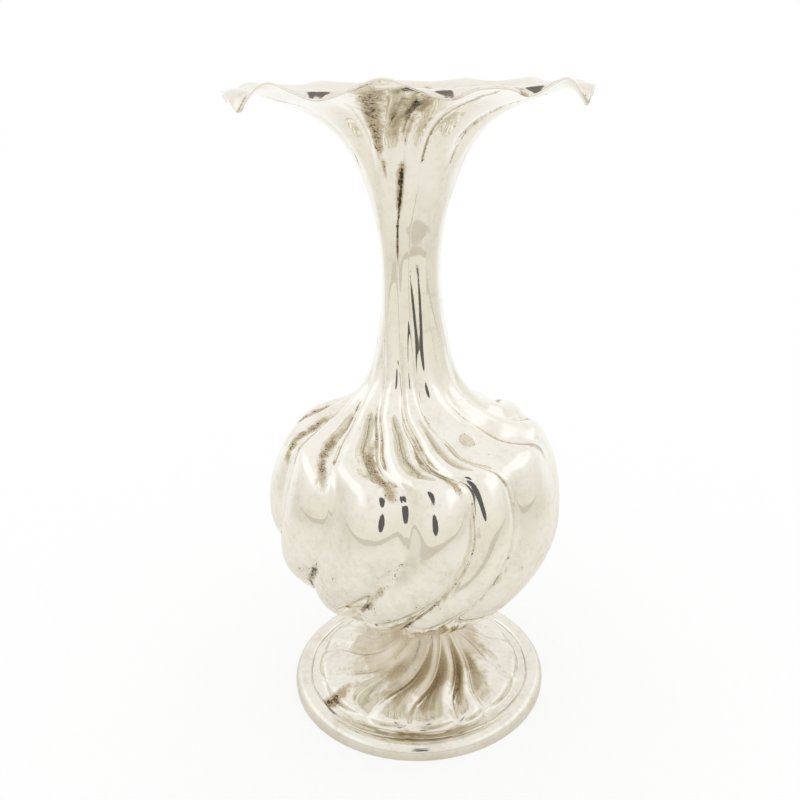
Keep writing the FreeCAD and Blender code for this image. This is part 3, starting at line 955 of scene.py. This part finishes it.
def body_stations(form):
    """The stations of bulb, shoulder, neck and mouth as one run, with the seams between them."""
    base = form.bowl_base_diameter / 2
    root = form.neck_root_diameter / 2
    waist = form.waist_diameter / 2
    shells = (
        (BOWL_SHARES, form.bowl_height, base, form.belly_diameter / 2, form.belly_flute_depth),
        (SHOULDER_SHARES, form.shoulder_height, root, None, form.shoulder_flute_depth),
        (NECK_SHARES, form.neck_height, waist, root, form.neck_flute_depth),
        (MOUTH_SHARES, form.mouth_height, waist, form.rim_diameter / 2, form.mouth_flute_depth),
    )
    level = form.foot_height + form.collar_height
    stations = []
    ends = [0]
    for table, height, inner, outer, depth in shells:
        reach = stations[LAST][0] if outer is None else outer
        stations.extend(station_rows(table, level, height, inner, reach, depth))
        level += height
        ends.append(len(stations) - 1)
    return stations, ends


def blank_material(name):
    """A material without nodes, and the plan that fills it."""
    material = bpy.data.materials.new(name)
    material.use_nodes = True
    material.node_tree.nodes.clear()
    return material, Plan(material.node_tree)


def silver_material(silver):
    """Polished silver with golden tarnish and dark old polish in its flutes, with painted shade along every
    crease and over the foot.
    """
    material, plan = blank_material(SILVER)
    place = plan.node("ShaderNodeTexCoord", output="Object")

    def mark(name):
        return plan.node("ShaderNodeAttribute", {"attribute_name": name}, output="Fac")

    def cloud(vector, scale, detail, roughness):
        sockets = {"Vector": vector, "Scale": scale, "Detail": detail, "Roughness": roughness}
        return plan.node("ShaderNodeTexNoise", sockets=sockets)

    def swing(noise, reach):
        return (noise - 0.5) * reach

    def layer(drive, low, high, strength):
        return plan.ramp(drive, low, high) * strength

    def bump(height, strength, distance, **below):
        sockets = {"Height": height, "Strength": strength, "Distance": distance, **below}
        return plan.node("ShaderNodeBump", sockets=sockets)

    stain = mark("stain")
    crease_shade_and_dirt = mark("crease_shade_and_dirt")
    inside = mark("inside")
    patches = cloud(place, *PATCHES)
    mottle = cloud(place, *MOTTLE)
    specks = cloud(place, *SPECKS)
    streaks = cloud(plan.vector("MULTIPLY", place, STREAK_STRETCH), *STREAKS)
    x, y, level = plan.apart(place)
    reach = plan.number("SQRT", x * x + y * y)

    stem_edge = reach + swing(patches, STEM_PATCHES) + swing(streaks, STEM_STREAKS)
    stem = plan.ramp(level, *STEM_LEVELS) * plan.ramp(stem_edge, *STEM_REACHES)
    low_belly = plan.ramp(level, *BELLY_TOP_LEVELS) * plan.ramp(level, *BELLY_BASE_LEVELS)
    marked = plan.ramp(stain, *MARKED)
    drive = stain + swing(streaks, STREAKS_FILM) + swing(patches, PATCHES_FILM)
    film = layer(drive, *FILM) * marked
    haze_and_foot_shade = layer(mottle + patches * PATCHES_HAZE + low_belly * BELLY_HAZE, *HAZE)
    # Painted shade: the foot is darkened with the haze colour, as if the bulb above hid the bright tent.
    least, more = FOOT_SHADE
    haze_and_foot_shade = haze_and_foot_shade + plan.ramp(level, *FOOT_SHADE_LEVELS) * (swing(patches, more) + least)
    least, more = STEM_FILM
    veil = stem * (patches * more + least)
    film = plan.number("MAXIMUM", film, plan.number("MAXIMUM", veil, inside * silver.inside_film))
    crust = layer(drive + swing(mottle, MOTTLE_CRUST), *CRUST) * marked
    dusted = plan.ramp(patches, *DUST) * low_belly
    # Painted shade: closeness to any crease darkens the silver towards the dark colour, on top of the old
    # polish in stains and dust.
    held = stain * STAIN_DIRT + crease_shade_and_dirt * CREASE_SHADE_AND_DIRT_DRIVE + dusted * DUST_DIRT
    dirt_and_crease_shade = layer(held + swing(specks, SPECKS_DIRT) + swing(mottle, MOTTLE_DIRT), *DIRT_AND_CREASE_SHADE)
    warm = [clean + (worn - clean) * WARM_SHARE for clean, worn in zip(silver.metal, silver.tarnish)]
    base = plan.mixed(layer(patches, *WARM), silver.metal, warm)
    films = ((haze_and_foot_shade, silver.haze_and_foot_shade), (film, silver.tarnish), (crust, silver.crust), (dirt_and_crease_shade, silver.dirt_and_crease_shade))
    for amount, tone in films:
        base = plan.mixed(amount, base, tone)
    rough = silver.polish + film * FILM_ROUGHNESS + haze_and_foot_shade * HAZE_ROUGHNESS + dirt_and_crease_shade * DIRT_ROUGHNESS
    rough = rough + swing(mottle, MOTTLE_ROUGHNESS)
    grain = bump(mottle, *GRAIN_BUMP)
    ripple = bump(cloud(place, *RIPPLE), *RIPPLE_BUMP, Normal=grain)
    sockets = {"Base Color": base, "Metallic": 1.0, "Roughness": rough, "Normal": ripple}
    shader = plan.node("ShaderNodeBsdfPrincipled", sockets=sockets)
    plan.node("ShaderNodeOutputMaterial", sockets={"Surface": shader})
    return material


def finished_silver():
    """The silver that an earlier step made."""
    found = bpy.data.materials.get(SILVER)
    if found is None:
        raise RuntimeError(f"{SILVER} isn't made yet")
    return found


class VASE_OT_silver(bpy.types.Operator):
    """Make the silver that all pieces are dressed in"""

    bl_idname = "vase.silver"
    bl_label = "Silver"

    def execute(self, context):
        silver_material(context.scene.vase_silver)
        return {"FINISHED"}


class VASE_OT_body(bpy.types.Operator):
    """Build bulb, shoulder, neck and mouth from one lobed sheet"""

    bl_idname = "vase.body"
    bl_label = "Body"

    def execute(self, context):
        form = context.scene.vase_form
        surface = context.scene.vase_surface
        stations, ends = body_stations(form)
        sheet = LobedSheet(stations, ends[1:LAST], form, surface, ends[1])
        stains = list(BODY_STAINS)
        for crease in range(LOBES):
            stains.extend((crease, *stain) for stain in (*SHOULDER_STAINS, BELLY_STAIN))
        stains.extend((crease, *MOUTH_STAIN) for crease in MOUTH_STAIN_CREASES)
        material = finished_silver()
        skin = Skin(sheet, surface, BELLY_LOBE_ANGLES, RIM_LOBE_ANGLES, material, stains)
        names = ("bowl", "shoulder", "neck", "trumpet_mouth")
        for number, node in enumerate(names):
            first, last = (end * surface.rings_between for end in ends[number:number + 2])
            edge_rings = surface.edge_rings if node == names[LAST] else 0
            mesh = walled_piece(node + "_sheet", skin, first, last, edge_rings, number == 0)
            add_piece(node + "_sheet", mesh, node, material)
        return {"FINISHED"}


class VASE_OT_foot(bpy.types.Operator):
    """Build the fluted dome of the foot"""

    bl_idname = "vase.foot"
    bl_label = "Foot"

    def execute(self, context):
        form = context.scene.vase_form
        surface = context.scene.vase_surface
        base = form.ledge_height + form.wall
        stem = form.stem_diameter / 2
        reach = form.foot_diameter / 2 - form.ring_width
        height = form.foot_height - base
        stations = station_rows(FOOT_SHARES, base, height, stem, reach, form.foot_flute_depth)
        last = len(stations) - 1
        sheet = LobedSheet(stations, [last], form, surface, 0)
        stains = [HEM_STAIN, *((crease, *stain) for crease in range(LOBES) for stain in FOOT_STAINS)]
        material = finished_silver()
        skin = Skin(sheet, surface, FOOT_LOBE_ANGLES, FOOT_LOBE_ANGLES, material, stains)
        mesh = walled_piece("foot_dome_sheet", skin, 0, last * surface.rings_between)
        add_piece("foot_dome_sheet", mesh, "foot_dome", material)
        return {"FINISHED"}


class VASE_OT_turned_rings(bpy.types.Operator):
    """Turn the foot ring and the collar"""

    bl_idname = "vase.turned_rings"
    bl_label = "Turned rings"

    def execute(self, context):
        form = context.scene.vase_form
        surface = context.scene.vase_surface
        foot = form.foot_diameter / 2
        inner = foot - form.ring_width
        ledge = inner - form.ledge_width
        tip = (foot - form.ring_width * form.ring_crown, form.ring_height)
        rings = surface.edge_rings * BAND_RINGS
        outside = level_arc(tip, (foot, form.ring_edge_height), rings)
        within = level_arc(tip, (inner, form.ledge_height + form.wall), rings)
        outline = [(ledge, 0.0), (foot, 0.0), *reversed(outside), *within[1:]]
        outline += [(inner, form.ledge_height), (ledge, form.ledge_height)]
        material = finished_silver()
        band = turned_mesh("foot_band", outline, surface.turned_steps)
        add_piece("foot_band", band, "foot_ring", material)
        hole = form.stem_diameter / 2 - form.collar_width
        edge = form.stem_diameter / 2 + form.collar_overhang
        top = form.foot_height + form.collar_height
        outline = [(hole, form.foot_height), (edge, form.foot_height), (edge, top), (hole, top)]
        band = turned_mesh("collar_band", outline, surface.turned_steps)
        add_piece("collar_band", band, "stem_collar", material)
        return {"FINISHED"}


def staged(obj, seen):
    """Marks a plane of the studio, seen by the camera or only in the silver."""
    bpy.context.scene.collection.objects.link(obj)
    obj.visible_camera = seen
    if not seen:
        obj.visible_diffuse = False
        obj.visible_shadow = False
        obj.visible_transmission = False


def plane(name, width, height, matrix, material, seen, corners=4):
    """A flat rectangle in its own place, or an oval where it has many corners."""
    reach = math.sqrt(0.5) if corners == 4 else 0.5
    turns = [TURN * (corner + 0.5) / corners for corner in range(corners)]
    places = [Vector((width * reach * math.cos(turn), height * reach * math.sin(turn), 0)) for turn in turns]
    mesh = bpy.data.meshes.new(name)
    mesh.from_pydata([matrix @ place for place in places], [], [tuple(range(corners))])
    mesh.materials.append(material)
    staged(bpy.data.objects.new(name, mesh), seen)


def floor_material(studio):
    """A pale floor that the camera sees as white, with the vase's shadow kept."""
    material, plan = blank_material("studio floor")
    place = plan.node("ShaderNodeTexCoord", output="Object")
    _, along, _ = plan.apart(place)
    reach = plan.size(place)
    edge = studio.table_reach
    before = plan.ramp(along * -1.0, edge - EDGE_FADE, edge + EDGE_FADE)
    backwards = plan.ramp(along / (reach + AXIS_GAP), *BACK_TURNS)
    far = plan.mixed(backwards, studio.far_table, studio.backdrop)
    mirrored = plan.mixed(plan.ramp(reach, *TABLE_REACHES), studio.table, far)
    mirrored = plan.mixed(before, mirrored, studio.room)
    rays = plan.node("ShaderNodeLightPath", output="Is Camera Ray")
    base = plan.mixed(rays, mirrored, WHITE)
    matt = {"Base Color": base, "Roughness": 1.0, "Specular IOR Level": 0.0}
    plain = plan.node("ShaderNodeBsdfPrincipled", sockets=matt)
    shader = plan.joined(rays * FLOOR_LIFT, plain, plan.shone(WHITE))
    plan.node("ShaderNodeOutputMaterial", sockets={"Surface": shader})
    return material


def card_material(name, tone):
    """An unlit card of one tone."""
    material, plan = blank_material(name)
    plan.node("ShaderNodeOutputMaterial", sockets={"Surface": plan.shone(tone)})
    return material


def tent_world(studio):
    """A tent: plain white to the camera, with duller walls and brighter lamps that show in the silver."""
    world = bpy.data.worlds.new("tent")
    bpy.context.scene.world = world
    world.use_nodes = True
    world.node_tree.nodes.clear()
    plan = Plan(world.node_tree)

    def light(tone, strength=1.0):
        return plan.node("ShaderNodeBackground", sockets={"Color": (*tone, 1.0), "Strength": strength})

    across, depth, height = plan.apart(plan.node("ShaderNodeTexCoord", output="Generated"))
    front = plan.ramp(depth * -1.0, *FRONT_RUN)
    rise = plan.ramp(height / (front * FRONT_RISE + RISE_REACH), *RISE_RUN)
    sideways = plan.ramp(plan.number("ABSOLUTE", across), *LAMP_SIDE_RUN)
    lamps = sideways * plan.ramp(plan.number("ABSOLUTE", height - LAMP_HEIGHT), *LAMP_HEIGHT_RUN)
    mirrored = plan.node("ShaderNodeLightPath", output="Is Glossy Ray")
    tent = plan.joined(front, light(studio.sides), light(studio.room))
    tent = plan.joined(plan.ramp(depth, *BACK_RUN), tent, light(studio.backdrop))
    tent = plan.joined(rise, tent, light(studio.tent))
    tent = plan.joined(lamps, tent, light(studio.lamps, LAMP_STRENGTH))
    plan.node("ShaderNodeOutputWorld", sockets={"Surface": plan.joined(mirrored, light(WHITE), tent)})


class VASE_OT_studio(bpy.types.Operator):
    """Set up floor, tent, cards and camera"""

    bl_idname = "vase.studio"
    bl_label = "Studio"

    def execute(self, context):
        studio = context.scene.vase_studio
        tent_world(studio)
        plane("floor", studio.floor_width, studio.floor_width, Matrix(), floor_material(studio), True)
        dark = card_material("dark card", studio.dark_card)
        shade = card_material("shaded card", studio.shaded_card)
        strip = card_material("table edge", studio.edge)
        upright = Matrix.Rotation(math.radians(90), 4, "X")
        near = -studio.camera_distance
        rise = Matrix.Translation((0, -studio.table_reach, studio.edge_height / 2))
        plane("edge_card", studio.floor_width, studio.edge_height, rise @ upright, strip, False)
        for name, width, height, level in CAMERA_CARDS:
            facing = Matrix.Translation((0, near, level)) @ upright
            plane(name, width, height, facing, dark, False, CARD_CORNERS)
        for number, (across, along, width, depth) in enumerate(RIM_CARDS):
            above = Matrix.Translation((across, along, RIM_CARD_LEVEL))
            plane(f"rim_card_{number}", width, depth, above, shade, False, CARD_CORNERS)
        camera = bpy.data.cameras.new("photo camera")
        camera.lens = studio.lens
        camera.sensor_width = SENSOR_WIDTH
        camera.shift_x = studio.shift
        camera.clip_start = NEAR_CLIP
        holder = bpy.data.objects.new("photo camera", camera)
        context.scene.collection.objects.link(holder)
        lift = Matrix.Translation((0, near, studio.camera_height))
        tilt = Matrix.Rotation(math.radians(90) - studio.camera_pitch, 4, "X")
        holder.matrix_world = lift @ tilt @ Matrix.Rotation(studio.camera_roll, 4, "Z")
        context.scene.camera = holder
        context.scene.view_settings.view_transform = "Standard"
        return {"FINISHED"}


class VASE_PT_panel(bpy.types.Panel):
    """Lists the steps of the vase"""

    bl_label = "Vase"
    bl_space_type = "VIEW_3D"
    bl_region_type = "UI"
    bl_category = "Vase"

    def draw(self, context):
        for step in STEPS:
            self.layout.operator(step.bl_idname)


SETTINGS = (VaseForm, VaseSurface, VaseSilver, VaseStudio)
STEPS = (VASE_OT_silver, VASE_OT_body, VASE_OT_foot, VASE_OT_turned_rings, VASE_OT_studio)


def register():
    for item in (*SETTINGS, *STEPS, VASE_PT_panel):
        bpy.utils.register_class(item)
    bpy.types.Scene.vase_form = PointerProperty(type=VaseForm)
    bpy.types.Scene.vase_surface = PointerProperty(type=VaseSurface)
    bpy.types.Scene.vase_silver = PointerProperty(type=VaseSilver)
    bpy.types.Scene.vase_studio = PointerProperty(type=VaseStudio)


def unregister():
    for name in ("vase_form", "vase_surface", "vase_silver", "vase_studio"):
        delattr(bpy.types.Scene, name)
    for item in reversed((*SETTINGS, *STEPS, VASE_PT_panel)):
        bpy.utils.unregister_class(item)


def main():
    register()
    bpy.ops.vase.silver()
    bpy.ops.vase.body()
    bpy.ops.vase.foot()
    bpy.ops.vase.turned_rings()
    bpy.ops.vase.studio()


if __name__ == "__main__":
    main()
